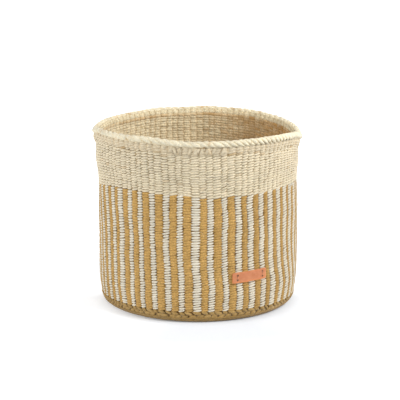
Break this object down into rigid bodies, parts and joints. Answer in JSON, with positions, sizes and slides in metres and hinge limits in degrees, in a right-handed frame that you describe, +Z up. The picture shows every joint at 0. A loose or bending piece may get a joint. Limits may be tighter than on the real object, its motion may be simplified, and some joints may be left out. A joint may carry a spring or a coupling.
{
  "type": "basket",
  "caption": "Open round basket of twined sisal: cream upper band over cream and ochre vertical stripes, a rope rim, a dark foot border and a small blank leather label.",
  "frame": {"origin": "centre of the flat underside, on the surface that the basket stands on", "axes": "+Z up along the basket's axis; -Y towards the side that carries the label, which lies 30 degrees from -Y towards +X"},
  "size_m": [0.2602, 0.2602, 0.224],
  "materials": {
    "cream_sisal": "matte twined sisal, slightly glossy fibres",
    "striped_sisal": "matte twined sisal in cream and ochre ribs",
    "tan_sisal": "matte twined sisal, tan and cream mixed",
    "brown_sisal": "matte twined sisal, brown ochre",
    "natural_cord": "matte undyed cord",
    "tan_leather": "smooth vegetable-tanned leather, cut edges",
    "label_thread": "waxed thread"
  },
  "bodies": {
    "root": {"base_outer_face": "brown_sisal", "base_inner_face": "tan_sisal", "start_knot": "brown_sisal", "foot_border": "brown_sisal", "wall_outer_striped": "striped_sisal", "wall_outer_cream": "cream_sisal", "wall_inner_face": "tan_sisal", "hem_band": "cream_sisal", "rim_rope": "cream_sisal", "leather_label": "tan_leather", "label_stitch_left": "label_thread", "label_stitch_right": "label_thread", "warp_cord_01": "natural_cord", "warp_cord_02": "natural_cord", "warp_cord_03": "natural_cord", "warp_cord_04": "natural_cord", "warp_cord_05": "natural_cord", "warp_cord_06": "natural_cord", "warp_cord_07": "natural_cord", "warp_cord_08": "natural_cord", "warp_cord_09": "natural_cord", "warp_cord_10": "natural_cord", "warp_cord_11": "natural_cord", "warp_cord_12": "natural_cord", "warp_cord_13": "natural_cord", "warp_cord_14": "natural_cord", "warp_cord_15": "natural_cord", "warp_cord_16": "natural_cord", "warp_cord_17": "natural_cord", "warp_cord_18": "natural_cord", "warp_cord_19": "natural_cord", "warp_cord_20": "natural_cord", "warp_cord_21": "natural_cord", "warp_cord_22": "natural_cord", "warp_cord_23": "natural_cord", "warp_cord_24": "natural_cord", "warp_cord_25": "natural_cord", "warp_cord_26": "natural_cord", "warp_cord_27": "natural_cord", "warp_cord_28": "natural_cord", "warp_cord_29": "natural_cord", "warp_cord_30": "natural_cord", "warp_cord_31": "natural_cord", "warp_cord_32": "natural_cord", "warp_cord_33": "natural_cord", "warp_cord_34": "natural_cord", "warp_cord_35": "natural_cord", "warp_cord_36": "natural_cord", "warp_cord_37": "natural_cord", "warp_cord_38": "natural_cord", "warp_cord_39": "natural_cord", "warp_cord_40": "natural_cord", "warp_cord_41": "natural_cord", "warp_cord_42": "natural_cord", "warp_cord_43": "natural_cord", "warp_cord_44": "natural_cord", "warp_cord_45": "natural_cord", "warp_cord_46": "natural_cord", "warp_cord_47": "natural_cord", "warp_cord_48": "natural_cord"}
  },
  "joints": []
}
